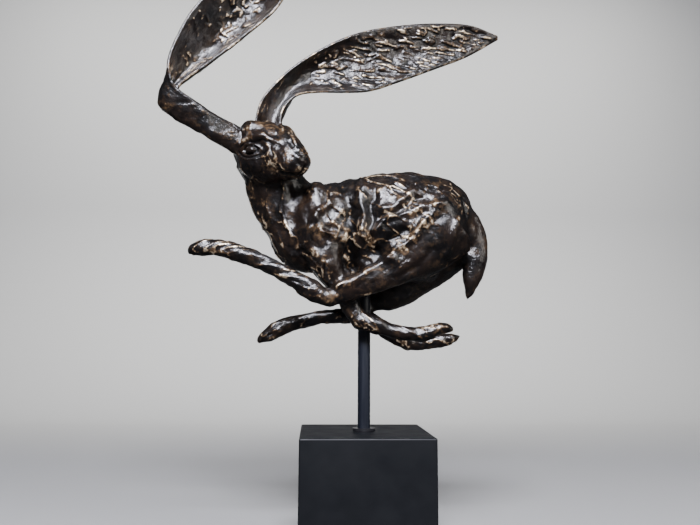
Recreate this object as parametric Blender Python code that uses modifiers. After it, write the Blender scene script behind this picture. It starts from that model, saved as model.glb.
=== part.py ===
"""Running hare cast in bronze with tall ears, carried by a rod over a square block."""
import math

import bmesh
import bpy
import numpy as np
from mathutils import Matrix, Vector

# Driving sizes in metres.
HARE_LENGTH = 0.240
EAR_WALL = 0.0038
PLINTH_WIDTH = 0.100
PLINTH_DEPTH = 0.100
PLINTH_HEIGHT = 0.100
PLINTH_EDGE = 0.0010
ROD_DIAMETER = 0.0100
ROD_RISE = 0.107
ROD_FOOT_DEPTH = 0.030
ROD_SEAT_DEPTH = 0.024
ROD_EDGE = 0.0005
COLLAR_DIAMETER = 0.0180
COLLAR_THICKNESS = 0.0020
FIT_GAP = 0.0003

# The hare is drawn on a grid of 240 steps along its length. The grid starts where the rod
# meets the belly: +X runs to the tail, -Y to the left flank and +Z up.
HARE_STEPS = 240
STEP = HARE_LENGTH / HARE_STEPS
BELLY_HEIGHT = PLINTH_HEIGHT + ROD_RISE

# Fineness of the casting's surface.
VOXEL = 0.0015
SMOOTH_ROUNDS = 3
SETTLE_ROUNDS = 2
HARE_TRIANGLES = 8900
ROUND_SIDES = 32

# Trunk from the throat to the rump: x, y, z and radius in grid steps.
TRUNK = [
    (-88, -11, 113, 20),
    (-79, -8, 100, 21.5),
    (-72, -4, 86, 23.5),
    (-62, -1, 72, 28),
    (-47, 0, 61, 34),
    (-28, 0, 56, 37),
    (-5, 0, 55, 42),
    (20, 0, 56, 45),
    (44, 0, 56, 46),
    (62, 0, 57, 41),
    (76, 0, 54, 31),
    (86, 0, 51, 15),
]
TRUNK_FLATTEN = 0.68

# Two masses that fill out the trunk: breast and belly, as centre and radii.
TRUNK_MASSES = [
    ((-46, 0, 48), (31, 22, 30)),
    ((5, 0, 34), (30, 24, 24)),
]

# Hind legs reach forward under the body: thigh, hock, then the long foot.
NEAR_THIGH = [
    (60, -10, 56, 33),
    (45, -14, 38, 25),
    (28, -19, 23, 16),
    (11, -22, 13, 11.5),
    (-5, -23, 6, 10),
    (-19, -23, 0, 9),
    (-29, -23, -5, 7),
]
NEAR_HIND_FOOT = [
    (-29, -23, -5, 7),
    (-42, -23, 2, 8),
    (-56, -23, 10.5, 7.2),
    (-72, -23, 19, 6.6),
    (-89, -23, 26, 7),
    (-105, -23, 31.5, 6.8),
    (-116, -23, 34.5, 6.2),
    (-126, -23, 34, 7),
    (-136, -23, 32, 4.6),
]
FAR_THIGH = [
    (64, 10, 50, 35),
    (50, 14, 28, 24.5),
    (35, 18, 12, 17.5),
    (21, 20, 2, 14),
    (8, 20, -4, 9),
    (-2, 19, -13, 7.5),
]
FAR_HIND_FOOT = [
    (-1, 19, -14, 7.5),
    (-14, 19, -15.5, 6.2),
    (-31, 20, -16.5, 5.6),
    (-48, 20, -20, 5.8),
    (-60, 20, -23, 6.2),
    (-71, 20, -28, 7),
    (-79, 20, -32.5, 6.2),
    (-85, 20, -35.5, 4.2),
]
THIGH_FLATTEN = 0.66
FOOT_FLATTEN = 0.95

# Forelegs trail back under the body: upper arm, elbow, then the forearm and paw.
NEAR_UPPER_ARM = [
    (-39, -8, 69, 22),
    (-36, -10, 48, 23),
    (-29, -14, 28, 16.5),
    (-18, -14, 4, 9.5),
    (-8, -13, -17, 7.5),
]
NEAR_FOREARM = [
    (-7, -13, -20, 7.5),
    (5, -14, -23, 7.2),
    (19, -15, -28, 5.8),
    (33, -16, -31, 6.2),
    (44, -16, -32, 6.3),
    (54, -16, -28.5, 5),
    (63, -16, -26.5, 4.4),
    (68, -16, -27, 2.6),
]
FAR_UPPER_ARM = [
    (-39, 8, 68, 22),
    (-35, 10, 46, 22),
    (-27, 14, 26, 16),
    (-12, 14, 2, 9),
    (-1, 13, -14, 7.5),
]
FAR_FOREARM = [
    (-1, 13, -15, 7.5),
    (14, 14, -24, 7.2),
    (28, 15, -33, 6.4),
    (41, 16, -38.5, 6),
    (54, 16, -38.5, 5.6),
    (65, 16, -36, 6.4),
    (75, 16, -33.5, 5),
    (81, 16, -32, 2.6),
]
ARM_FLATTEN = 0.85

# The tail hugs the rump and hangs to a point.
TAIL = [
    (85, 0, 72, 4),
    (90, 0, 60, 8),
    (92, 0, 44, 10),
    (91, 0, 30, 10.5),
    (88.5, 0, 17, 8.5),
    (86, 0, 5, 4.5),
    (84, 0, -2, 1.8),
]
TAIL_FLATTEN = 0.75

# Each limb ends in a ball of its own radius, this much of it along X.
END_FULLNESS = 0.6
WORLD_AXES = (Vector((1, 0, 0)), Vector((0, 1, 0)), Vector((0, 0, 1)))

# The head looks back over the left shoulder. Its own directions come from two angles.
HEAD_CENTRE = (-82, -14, 113)
HEAD_TURN = math.radians(50)
HEAD_NOD = math.radians(15)

# Masses of the head: forward, left and up of its centre, then the radii the same way.
HEAD_MASSES = [
    ((0, 0, 1), (27, 20, 24)),
    ((14, 0, -2), (22, 17, 19)),
    ((27, 1, -4), (20, 14.5, 15.5)),
    ((6, 7, 10), (19, 15, 14)),
    ((4, 0, -13), (22, 17, 13)),
    ((18, 0, 3), (24, 12, 15)),
    ((5, 12, 16), (12, 10, 10)),
    ((-4, -11, 13), (13, 9, 10)),
]
PAIRED_MASSES = [
    ((4, 12.5, -9), (16, 8, 13)),
    ((33, 5.5, -7), (9.5, 7.5, 8.5)),
    ((5.5, 16, -1.5), (7.2, 4.6, 6.2)),
]
BROW = [(-4, 16.5, 5, 2.6), (2, 17.8, 9.5, 3.2), (10, 17, 10, 3.4), (18, 13.5, 7, 2.4)]

# Each ear is a sheet through three rails from the head to the tip, in grid steps.
RIGHT_EAR_NEAR_RIM = [
    (-96, -22, 126), (-116, -30, 136), (-129, -36, 144), (-147, -43, 155), (-152, -46, 167),
    (-153, -46, 177), (-148, -45, 194), (-137, -43, 218), (-118, -40, 241), (-92, -37, 264), (-60, -34, 281),
]
RIGHT_EAR_SPINE = [
    (-100, -18, 110), (-122, -27, 121), (-147, -33, 133), (-160, -35, 143), (-158, -31, 158),
    (-149, -26, 171), (-136, -22, 188), (-116, -20, 209), (-97, -20, 231), (-78, -24, 254), (-59, -32, 280),
]
RIGHT_EAR_FAR_RIM = [
    (-92, -10, 131), (-114, -16, 139.5), (-130, -22, 147), (-146, -27, 153), (-148, -29, 160),
    (-140, -30, 169), (-122, -31, 182), (-95, -32, 205), (-72, -33, 227), (-60, -34, 253), (-57, -33, 280),
]
LEFT_EAR_UPPER_RIM = [
    (-90, -13, 138), (-84, -12, 159), (-67, -8, 181), (-46, -3, 200), (-21, 2, 217),
    (3, 8, 229), (34, 15, 238), (64, 22, 244), (97, 29, 246.5), (123.5, 34.5, 239.5),
]
LEFT_EAR_SPINE = [
    (-78, -2, 132), (-73, 1, 152), (-61, 5, 174), (-42, 9, 188), (-16, 13, 199),
    (10, 18, 205), (42, 23, 213), (72, 28, 222), (100, 33, 231), (124, 35.5, 238.6),
]
LEFT_EAR_LOWER_RIM = [
    (-70, -12, 133), (-68, -11, 150), (-57, -7, 164), (-40, -2, 169), (-19, 3, 171),
    (5, 9, 175), (30, 15, 186), (61, 22, 201), (92, 29, 216.5), (123.5, 35, 237.6),
]
EAR_ROWS = 60
EAR_COLUMNS = 14
STEM_FULLNESS = 0.5
LEAF_FULLNESS = 0.95

# Carving: strokes on the flanks, from (x, z) to (x, z), half width and height in grid steps.
# A negative height is a furrow.
FLANK_STROKES = [
    ((-4, 92), (-4, 44), 3.6, 3.0),
    ((5, 78), (2, 34), 3, -2.4),
    ((-13, 62), (-13, 20), 6, -4.8),
    ((5, 47), (19, 60), 3, 2.3),
    ((19, 60), (62, 69), 3, 2.0),
    ((13, 66), (37, 80), 2.8, 1.8),
    ((8, 80), (29, 88), 2.8, 1.5),
    ((12, 58), (44, 76), 2.6, -1.6),
    ((-21, 6), (18, 25), 3.2, 2.0),
    ((18, 25), (57, 66), 3.4, 2.8),
    ((0, 28), (30, 48), 4, -2.6),
    ((78, 78), (84, 40), 3.5, -1.8),
    ((74, 66), (64, 30), 3, 1.6),
    ((52, 34), (24, 10), 3, -1.6),
    ((-40, 57), (-32, 45), 2.6, 2.0),
    ((-32, 45), (-19, 42), 2.6, 1.8),
    ((-48, 40), (-38, 62), 3.2, 1.9),
    ((-38, 62), (-24, 76), 3, 1.8),
    ((-44, 35), (-31, 20), 3.2, 1.8),
    ((-60, 80), (-56, 56), 4.5, -1.0),
    ((-20, 84), (-13, 62), 4, -1.8),
    ((-82, 84), (-76, 58), 2.8, 1.1),
    ((-66, 80), (-63, 52), 2.8, 1.2),
]
FAR_SIDE_SHARE = 0.6

BRONZE_COLOUR = (0.055, 0.040, 0.032, 1.0)
ROD_COLOUR = (0.012, 0.013, 0.018, 1.0)
BLOCK_COLOUR = (0.010, 0.011, 0.013, 1.0)


def clear_scene():
    """Remove whatever the file holds, so that a second run gives the same result."""
    for item in list(bpy.data.objects):
        bpy.data.objects.remove(item, do_unlink=True)
    for group in list(bpy.data.collections):
        bpy.data.collections.remove(group)


def new_collection(name):
    group = bpy.data.collections.new(name)
    bpy.context.scene.collection.children.link(group)
    return group


def new_material(name, colour, roughness, metallic):
    material = bpy.data.materials.new(name)
    material.use_nodes = True
    shader = material.node_tree.nodes["Principled BSDF"]
    shader.inputs["Base Color"].default_value = colour
    shader.inputs["Roughness"].default_value = roughness
    shader.inputs["Metallic"].default_value = metallic
    return material


def place(point):
    """Metres, in the part's frame, of a point given in grid steps."""
    return Vector((point[0] * STEP, point[1] * STEP, BELLY_HEIGHT + point[2] * STEP))


def head_axes():
    """Unit vectors of the head: forward, left and up."""
    turn, nod = HEAD_TURN, HEAD_NOD
    forward = Vector((math.sin(turn) * math.cos(nod), -math.cos(turn) * math.cos(nod), -math.sin(nod)))
    left = Vector((math.cos(turn), math.sin(turn), 0.0))
    return forward, left, left.cross(-forward)


def in_head(point):
    """Grid point of a place given as forward, left and up of the head's centre."""
    forward, left, up = head_axes()
    return Vector(HEAD_CENTRE) + forward * point[0] + left * point[1] + up * point[2]


def tube(stations, flatten=1.0):
    """Closed tapering tube through (x, y, z, radius) stations, pressed flat across Y."""
    curve = bpy.data.curves.new("tube", "CURVE")
    curve.dimensions = "3D"
    curve.bevel_depth = 1.0
    curve.bevel_resolution = 6
    curve.resolution_u = 6
    curve.use_fill_caps = True
    curve.twist_mode = "MINIMUM"
    spline = curve.splines.new("BEZIER")
    spline.bezier_points.add(len(stations) - 1)
    for point, (x, y, z, radius) in zip(spline.bezier_points, stations):
        spot = place((x, y, z))
        point.co = (spot.x, spot.y / flatten, spot.z)
        point.radius = radius * STEP
        point.handle_left_type = "AUTO"
        point.handle_right_type = "AUTO"
    item = bpy.data.objects.new("tube", curve)
    bpy.context.scene.collection.objects.link(item)
    graph = bpy.context.evaluated_depsgraph_get()
    mesh = bpy.data.meshes.new_from_object(item.evaluated_get(graph))
    mesh.transform(Matrix.Diagonal((1.0, flatten, 1.0, 1.0)))
    bpy.data.objects.remove(item, do_unlink=True)
    return mesh


def ball(centre, radii, axes):
    """Closed ellipsoid with its radii along three given directions, in grid steps."""
    mesh = bpy.data.meshes.new("ball")
    work = bmesh.new()
    bmesh.ops.create_uvsphere(work, u_segments=28, v_segments=18, radius=1.0)
    turn = Matrix((axes[0], axes[1], axes[2])).transposed().to_4x4()
    stretch = Matrix.Diagonal((*[radius * STEP for radius in radii], 1.0))
    bmesh.ops.transform(work, matrix=Matrix.Translation(place(centre)) @ turn @ stretch, verts=work.verts)
    work.to_mesh(mesh)
    work.free()
    return mesh


def smooth_rail(points, rows):
    """Points at even steps along a Catmull-Rom curve through the given ones."""
    rail = np.array(points, dtype=float)
    padded = np.vstack([2 * rail[0] - rail[1], rail, 2 * rail[-1] - rail[-2]])
    out = []
    for place_on in np.linspace(0, len(rail) - 1, rows):
        index = min(int(place_on), len(rail) - 2)
        t = place_on - index
        p0, p1, p2, p3 = padded[index:index + 4]
        spot = 2 * p1 + (p2 - p0) * t + (2 * p0 - 5 * p1 + 4 * p2 - p3) * t * t
        spot = spot + (3 * p1 - p0 - 3 * p2 + p3) * t * t * t
        out.append(spot / 2)
    return np.array(out)


def ear(near_rim, spine, far_rim):
    """Thin ear: a sheet whose section is an arc from rim to rim over the spine, thickened."""
    rims = [smooth_rail(rail, EAR_ROWS) for rail in (near_rim, spine, far_rim)]
    work = bmesh.new()
    grid = []
    for row in range(EAR_ROWS):
        near, middle, far = (rail[row] for rail in rims)
        centre = (near + far) / 2
        along = row / (EAR_ROWS - 1)
        fullness = STEM_FULLNESS + (LEAF_FULLNESS - STEM_FULLNESS) * min(1.0, along * 1.6)
        line = []
        for column in range(EAR_COLUMNS + 1):
            across = -math.cos(math.pi * column / EAR_COLUMNS)
            sag = max(0.0, 1.0 - across * across) ** fullness
            spot = centre + (far - near) / 2 * across + (middle - centre) * sag
            line.append(work.verts.new(place(spot)))
        grid.append(line)
    for row in range(EAR_ROWS - 1):
        for column in range(EAR_COLUMNS):
            corners = (grid[row][column], grid[row + 1][column])
            work.faces.new((*corners, grid[row + 1][column + 1], grid[row][column + 1]))
    mesh = bpy.data.meshes.new("ear")
    work.to_mesh(mesh)
    work.free()
    item = bpy.data.objects.new("ear", mesh)
    bpy.context.scene.collection.objects.link(item)
    wall = item.modifiers.new("wall", "SOLIDIFY")
    wall.thickness = EAR_WALL
    wall.offset = 0.0
    thick = bpy.data.meshes.new_from_object(item.evaluated_get(bpy.context.evaluated_depsgraph_get()))
    bpy.data.objects.remove(item, do_unlink=True)
    return thick


def head_shapes():
    """Skull, muzzle, cheeks, eyes and brows."""
    axes = head_axes()
    shapes = [ball(in_head(spot), radii, axes) for spot, radii in HEAD_MASSES]
    for side in (-1, 1):
        for (forward, out, up), radii in PAIRED_MASSES:
            shapes.append(ball(in_head((forward, side * out, up)), radii, axes))
        brow = [(*in_head((forward, side * out, up)), radius) for forward, out, up, radius in BROW]
        shapes.append(tube(brow))
    return shapes


def limb(stations, flatten=1.0):
    """Tube with a round ball at each end, so that one form melts into the next."""
    shapes = [tube(stations, flatten)]
    for x, y, z, radius in (stations[0], stations[-1]):
        shapes.append(ball((x, y, z), (radius * END_FULLNESS, radius * flatten, radius), WORLD_AXES))
    return shapes


def body_shapes():
    """Trunk, legs and tail."""
    limbs = [
        (TRUNK, TRUNK_FLATTEN),
        (NEAR_THIGH, THIGH_FLATTEN),
        (FAR_THIGH, THIGH_FLATTEN),
        (NEAR_HIND_FOOT, FOOT_FLATTEN),
        (FAR_HIND_FOOT, FOOT_FLATTEN),
        (NEAR_UPPER_ARM, ARM_FLATTEN),
        (FAR_UPPER_ARM, ARM_FLATTEN),
        (NEAR_FOREARM, FOOT_FLATTEN),
        (FAR_FOREARM, FOOT_FLATTEN),
        (TAIL, TAIL_FLATTEN),
    ]
    shapes = [ball(centre, radii, WORLD_AXES) for centre, radii in TRUNK_MASSES]
    for stations, flatten in limbs:
        shapes += limb(stations, flatten)
    return shapes


def join_meshes(meshes):
    """One mesh holding all the given closed shapes, each with its caps welded."""
    work = bmesh.new()
    for mesh in meshes:
        work.from_mesh(mesh)
        bpy.data.meshes.remove(mesh)
    bmesh.ops.remove_doubles(work, verts=work.verts, dist=1e-6)
    bmesh.ops.recalc_face_normals(work, faces=work.faces)
    joined = bpy.data.meshes.new("hare")
    work.to_mesh(joined)
    work.free()
    return joined


def fuse(item):
    """Melt the overlapping shapes into one skin and soften the seams."""
    skin = item.modifiers.new("skin", "REMESH")
    skin.mode = "VOXEL"
    skin.voxel_size = VOXEL
    soften = item.modifiers.new("soften", "SMOOTH")
    soften.factor = 0.5
    soften.iterations = SMOOTH_ROUNDS
    fused = bpy.data.meshes.new_from_object(item.evaluated_get(bpy.context.evaluated_depsgraph_get()))
    item.modifiers.clear()
    item.data = fused


def carve(mesh):
    """Push the skin along its normals by the strokes on the two flanks."""
    count = len(mesh.vertices)
    spots = np.empty(count * 3, dtype=np.float32)
    normals = np.empty(count * 3, dtype=np.float32)
    mesh.vertices.foreach_get("co", spots)
    mesh.vertices.foreach_get("normal", normals)
    spots = spots.reshape(-1, 3)
    normals = normals.reshape(-1, 3)
    grid_x = spots[:, 0] / STEP
    grid_z = (spots[:, 2] - BELLY_HEIGHT) / STEP
    height = np.zeros(count)
    for start, end, half_width, rise in FLANK_STROKES:
        run = np.subtract(end, start)
        along = ((grid_x - start[0]) * run[0] + (grid_z - start[1]) * run[1]) / (run @ run)
        along = np.clip(along, 0, 1)
        away = np.hypot(grid_x - start[0] - along * run[0], grid_z - start[1] - along * run[1])
        height += rise * np.exp(-(away / half_width) ** 2)
    faces_side = np.clip(np.abs(normals[:, 1]) * 2 - 0.3, 0, 1)
    side_share = np.where(spots[:, 1] < 0, 1.0, FAR_SIDE_SHARE)
    height *= faces_side * side_share * STEP
    spots += normals * height[:, None]
    mesh.vertices.foreach_set("co", spots.ravel())
    mesh.update()


def settle(item):
    """Ease the edges that the carving left too sharp."""
    ease = item.modifiers.new("settle", "SMOOTH")
    ease.factor = 0.5
    ease.iterations = SETTLE_ROUNDS


def lighten(item):
    """Bring the skin down to its count of triangles."""
    total = sum(len(face.vertices) - 2 for face in item.data.polygons)
    thin = item.modifiers.new("lighten", "DECIMATE")
    thin.decimate_type = "COLLAPSE"
    thin.ratio = HARE_TRIANGLES / total
    thin.use_collapse_triangulate = True


def cut(item, cutter):
    bore = item.modifiers.new("bore", "BOOLEAN")
    bore.operation = "DIFFERENCE"
    bore.solver = "EXACT"
    bore.object = cutter


def round_bar(name, radius, low, high, group):
    """Upright cylinder on the rod's axis between two heights."""
    bpy.ops.mesh.primitive_cylinder_add(vertices=ROUND_SIDES, radius=radius, depth=high - low,
                                        location=(0, 0, (low + high) / 2))
    item = bpy.context.object
    item.name = name
    item.data.name = name
    for holder in list(item.users_collection):
        holder.objects.unlink(item)
    group.objects.link(item)
    return item


def bevel_edges(item, width):
    edge = item.modifiers.new("edge", "BEVEL")
    edge.width = width
    edge.segments = 2
    edge.limit_method = "ANGLE"
    edge.angle_limit = math.radians(40)


def make_cutter(name, radius, low, high, group):
    item = round_bar(name, radius, low, high, group)
    item.display_type = "WIRE"
    item.hide_render = True
    return item


def make_hare(group, cutters):
    ears = [
        ear(RIGHT_EAR_NEAR_RIM, RIGHT_EAR_SPINE, RIGHT_EAR_FAR_RIM),
        ear(LEFT_EAR_UPPER_RIM, LEFT_EAR_SPINE, LEFT_EAR_LOWER_RIM),
    ]
    item = bpy.data.objects.new("hare", join_meshes(body_shapes() + head_shapes() + ears))
    group.objects.link(item)
    fuse(item)
    carve(item.data)
    settle(item)
    lighten(item)
    top = BELLY_HEIGHT + ROD_SEAT_DEPTH + FIT_GAP
    socket = make_cutter("hare_socket", ROD_DIAMETER / 2 + FIT_GAP, PLINTH_HEIGHT, top, cutters)
    cut(item, socket)
    item.data.materials.clear()
    item.data.materials.append(new_material("bronze", BRONZE_COLOUR, 0.32, 0.9))
    item.data.shade_smooth()


def make_rod(group):
    low = PLINTH_HEIGHT - ROD_FOOT_DEPTH
    high = BELLY_HEIGHT + ROD_SEAT_DEPTH
    item = round_bar("support_rod", ROD_DIAMETER / 2, low, high, group)
    bevel_edges(item, ROD_EDGE)
    item.data.materials.append(new_material("rod_black", ROD_COLOUR, 0.30, 0.6))
    item.data.shade_smooth()
    item.data.set_sharp_from_angle(angle=math.radians(40))


def make_collar(group, cutters):
    low = PLINTH_HEIGHT + FIT_GAP
    item = round_bar("rod_collar", COLLAR_DIAMETER / 2, low, low + COLLAR_THICKNESS, group)
    hole = make_cutter("collar_hole", ROD_DIAMETER / 2 + FIT_GAP, low - COLLAR_THICKNESS,
                       low + 2 * COLLAR_THICKNESS, cutters)
    cut(item, hole)
    item.data.materials.append(new_material("collar_black", ROD_COLOUR, 0.35, 0.6))


def make_block(group, cutters):
    bpy.ops.mesh.primitive_cube_add(size=1, location=(0, 0, PLINTH_HEIGHT / 2))
    item = bpy.context.object
    item.name = "plinth_block"
    item.data.name = "plinth_block"
    item.data.transform(Matrix.Diagonal((PLINTH_WIDTH, PLINTH_DEPTH, PLINTH_HEIGHT, 1.0)))
    for holder in list(item.users_collection):
        holder.objects.unlink(item)
    group.objects.link(item)
    bevel_edges(item, PLINTH_EDGE)
    bore_floor = PLINTH_HEIGHT - ROD_FOOT_DEPTH - FIT_GAP
    bore = make_cutter("block_bore", ROD_DIAMETER / 2 + FIT_GAP, bore_floor,
                       PLINTH_HEIGHT + ROD_FOOT_DEPTH, cutters)
    cut(item, bore)
    item.data.materials.append(new_material("block_black", BLOCK_COLOUR, 0.42, 0.0))


def main():
    clear_scene()
    group = new_collection("hare_sculpture")
    cutters = new_collection("cutters")
    make_block(group, cutters)
    make_collar(group, cutters)
    make_rod(group)
    make_hare(group, cutters)


main()
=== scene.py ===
"""Looks of the bronze running hare on its rod and block: camera, light, casting relief and finishes."""

import itertools
import math

import bmesh
import bpy
import numpy as np
from mathutils import Matrix, Vector
from numpy.linalg import norm


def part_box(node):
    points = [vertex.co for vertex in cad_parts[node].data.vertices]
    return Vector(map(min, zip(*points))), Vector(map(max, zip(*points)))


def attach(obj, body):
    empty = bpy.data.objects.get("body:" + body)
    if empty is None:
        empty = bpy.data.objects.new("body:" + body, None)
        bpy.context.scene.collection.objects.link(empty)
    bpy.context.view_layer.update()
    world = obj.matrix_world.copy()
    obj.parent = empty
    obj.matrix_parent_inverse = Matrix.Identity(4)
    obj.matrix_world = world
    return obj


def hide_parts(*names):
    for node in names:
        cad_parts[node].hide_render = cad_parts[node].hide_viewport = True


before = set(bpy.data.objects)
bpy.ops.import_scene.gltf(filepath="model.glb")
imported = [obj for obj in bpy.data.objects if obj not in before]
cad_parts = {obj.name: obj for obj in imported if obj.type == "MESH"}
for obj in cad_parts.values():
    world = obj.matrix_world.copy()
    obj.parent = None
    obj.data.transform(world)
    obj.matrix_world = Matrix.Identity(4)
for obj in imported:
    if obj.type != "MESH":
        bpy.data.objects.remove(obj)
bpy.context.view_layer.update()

# Where the CAD stands, in metres: the belly's height is the rod's top less its seat in the belly.
ROD_SEAT_DEPTH = 0.024
ROD_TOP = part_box("support_rod")[1].z
BELLY_HEIGHT = ROD_TOP - ROD_SEAT_DEPTH

# The hare is drawn on the same grid as its solid: one step is a millimetre at this size.
STEP = 0.001
MM = 0.001
EAR_WALL = 0.0038
EAR_RIM_SHARE = 0.5

# The camera, in metres and degrees.
CAMERA_SPOT = (-0.0396, -0.5626, 0.1622)
CAMERA_YAW = 2.85
CAMERA_PITCH = 7.22
CAMERA_ROLL = 0.3
CAMERA_LENS = 36.0
SENSOR_WIDTH = 36.0

# Fineness of the drawn shapes, as counts.
TUBE_FINENESS = 6
BALL_SEGMENTS = 28
BALL_RINGS = 18
RAIL_STEPS = 70

# Fineness of the cast skin in metres, rounds of softening and budget of triangles.
WELD_REACH = 1e-6
SKIN_VOXEL = 0.00080
FIRST_ROUNDS = 3
MELT_ROUNDS = 22
HEAD_FIRMNESS = 0.25
FINISH_ROUNDS = 1
SKIN_TRIANGLES = 196000

# Trunk from the throat to the rump: x, y, z and radius in grid steps.
TRUNK = [
    (-88, -11, 113, 20), (-79, -8, 100, 21.5), (-72, -4, 86, 23.5), (-62, -1, 72, 28),
    (-47, 0, 61, 34), (-28, 0, 56, 37), (-5, 0, 55, 42), (20, 0, 56, 45), (44, 0, 56, 46),
    (62, 0, 57, 41), (76, 0, 54, 31), (86, 0, 51, 15),
]
TRUNK_FLATTEN = 0.68

# Two masses that fill out the trunk: breast and belly, as centre and radii.
TRUNK_MASSES = [
    ((-46, 0, 48), (31, 22, 30)),
    ((5, 0, 34), (30, 24, 24)),
]

# Hind legs reach forward under the body: thigh, hock, then the long foot.
NEAR_THIGH = [
    (60, -10, 56, 33), (45, -14, 38, 25), (28, -19, 23, 16), (11, -22, 13, 11.5), (-5, -23, 6, 10),
    (-19, -23, 0, 9), (-29, -23, -5, 7),
]
NEAR_HIND_FOOT = [
    (-29, -23, -5, 7), (-42, -23, 2, 8), (-56, -23, 10.5, 7.2), (-72, -23, 19, 6.6),
    (-89, -23, 26, 7), (-105, -23, 31.5, 6.8), (-116, -23, 34.5, 6.2), (-126, -23, 34, 7),
    (-136, -23, 32, 4.6),
]
FAR_THIGH = [
    (64, 10, 50, 35), (50, 14, 28, 24.5), (35, 18, 12, 17.5), (21, 20, 2, 14), (8, 20, -4, 9),
    (-2, 19, -13, 7.5),
]
FAR_HIND_FOOT = [
    (-1, 19, -14, 7.5), (-14, 19, -15.5, 6.2), (-31, 20, -16.5, 5.6), (-48, 20, -20, 5.8),
    (-60, 20, -23, 6.2), (-71, 20, -28, 7), (-79, 20, -32.5, 6.2), (-85, 20, -35.5, 4.2),
]
THIGH_FLATTEN = 0.66
FOOT_FLATTEN = 0.95

# Forelegs trail back under the body: upper arm, elbow, then the forearm and paw.
NEAR_UPPER_ARM = [
    (-39, -8, 69, 22), (-36, -10, 48, 23), (-29, -14, 28, 16.5), (-18, -14, 4, 9.5),
    (-8, -13, -17, 7.5),
]
NEAR_FOREARM = [
    (-7, -13, -20, 7.5), (5, -14, -23, 7.2), (19, -15, -28, 5.8), (33, -16, -31, 6.2),
    (44, -16, -32, 6.3), (54, -16, -28.5, 5), (63, -16, -26.5, 4.4), (68, -16, -27, 2.6),
]
FAR_UPPER_ARM = [
    (-39, 8, 68, 22), (-35, 10, 46, 22), (-27, 14, 26, 16), (-12, 14, 2, 9), (-1, 13, -14, 7.5),
]
FAR_FOREARM = [
    (-1, 13, -15, 7.5), (14, 14, -24, 7.2), (28, 15, -33, 6.4), (41, 16, -38.5, 6),
    (54, 16, -38.5, 5.6), (65, 16, -36, 6.4), (75, 16, -33.5, 5), (81, 16, -32, 2.6),
]
ARM_FLATTEN = 0.85

# The tail hugs the rump and hangs to a point.
TAIL = [
    (85, 0, 72, 4), (90, 0, 60, 8), (92, 0, 44, 10), (91, 0, 30, 10.5), (88.5, 0, 17, 8.5),
    (86, 0, 5, 4.5), (84, 0, -2, 1.8),
]
TAIL_FLATTEN = 0.75

# Each limb ends in a ball of its own radius, this much of it along X.
END_FULLNESS = 0.6
WORLD_AXES = (Vector((1, 0, 0)), Vector((0, 1, 0)), Vector((0, 0, 1)))

# The head looks back over the left shoulder. Its own directions come from two angles.
HEAD_CENTRE = (-82, -14, 113)
HEAD_TURN = math.radians(50)
HEAD_NOD = math.radians(15)

# Masses of the head: forward, left and up of its centre, then the radii the same way.
HEAD_MASSES = [
    ((0, 0, 1), (27, 20, 24)), ((14, 0, -2), (22, 17, 19)), ((27, 1, -4), (20, 14.5, 15.5)),
    ((6, 7, 10), (19, 15, 14)), ((4, 0, -13), (22, 17, 13)), ((18, 0, 3), (24, 12, 15)),
    ((5, 12, 16), (12, 10, 10)), ((-4, -11, 13), (13, 9, 10)),
]
PAIRED_MASSES = [
    ((4, 12.5, -9), (16, 8, 13)),
    ((33, 5.5, -7), (9.5, 7.5, 8.5)),
    ((5.5, 16, -1.5), (7.2, 4.6, 6.2)),
]
BROW = [(-4, 16.5, 5, 2.6), (2, 17.8, 9.5, 3.2), (10, 17, 10, 3.4), (18, 13.5, 7, 2.4)]

# Each ear is a sheet through three rails from the head to the tip, in grid steps.
RIGHT_EAR_NEAR_RIM = [
    (-96, -22, 126), (-116, -30, 136), (-129, -36, 144), (-147, -43, 155),
    (-152, -46, 167), (-153, -46, 177), (-148, -45, 194), (-137, -43, 218),
    (-118, -40, 241), (-92, -37, 264), (-60, -34, 281),
]
RIGHT_EAR_SPINE = [
    (-100, -18, 110), (-122, -27, 121), (-147, -33, 133), (-160, -35, 143), (-158, -31, 158),
    (-149, -26, 171), (-136, -22, 188), (-116, -20, 209), (-97, -20, 231), (-78, -24, 254), (-59, -32, 280),
]
RIGHT_EAR_FAR_RIM = [
    (-92, -10, 131), (-114, -16, 139.5), (-130, -22, 147), (-146, -27, 153), (-148, -29, 160),
    (-140, -30, 169), (-122, -31, 182), (-95, -32, 205), (-72, -33, 227), (-60, -34, 253), (-57, -33, 280),
]
LEFT_EAR_UPPER_RIM = [
    (-90, -13, 138), (-84, -12, 159), (-67, -8, 181), (-46, -3, 200), (-21, 2, 217),
    (3, 8, 229), (34, 15, 238), (64, 22, 244), (97, 29, 246.5), (123.5, 34.5, 239.5),
]
LEFT_EAR_SPINE = [
    (-78, -2, 132), (-73, 1, 152), (-61, 5, 174), (-42, 9, 188), (-16, 13, 199),
    (10, 18, 205), (42, 23, 213), (72, 28, 222), (100, 33, 231), (124, 35.5, 238.6),
]
LEFT_EAR_LOWER_RIM = [
    (-70, -12, 133), (-68, -11, 150), (-57, -7, 164), (-40, -2, 169), (-19, 3, 171),
    (5, 9, 175), (30, 15, 186), (61, 22, 201), (92, 29, 216.5), (123.5, 35, 237.6),
]
RIGHT_EAR = (RIGHT_EAR_NEAR_RIM, RIGHT_EAR_SPINE, RIGHT_EAR_FAR_RIM)
LEFT_EAR = (LEFT_EAR_UPPER_RIM, LEFT_EAR_SPINE, LEFT_EAR_LOWER_RIM)
EAR_ROWS = 60
EAR_COLUMNS = 14

# How full an ear's section is at stem and leaf, and how fast it changes.
STEM_FULLNESS = 0.5
LEAF_FULLNESS = 0.95
LEAF_SPEED = 1.6

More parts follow.
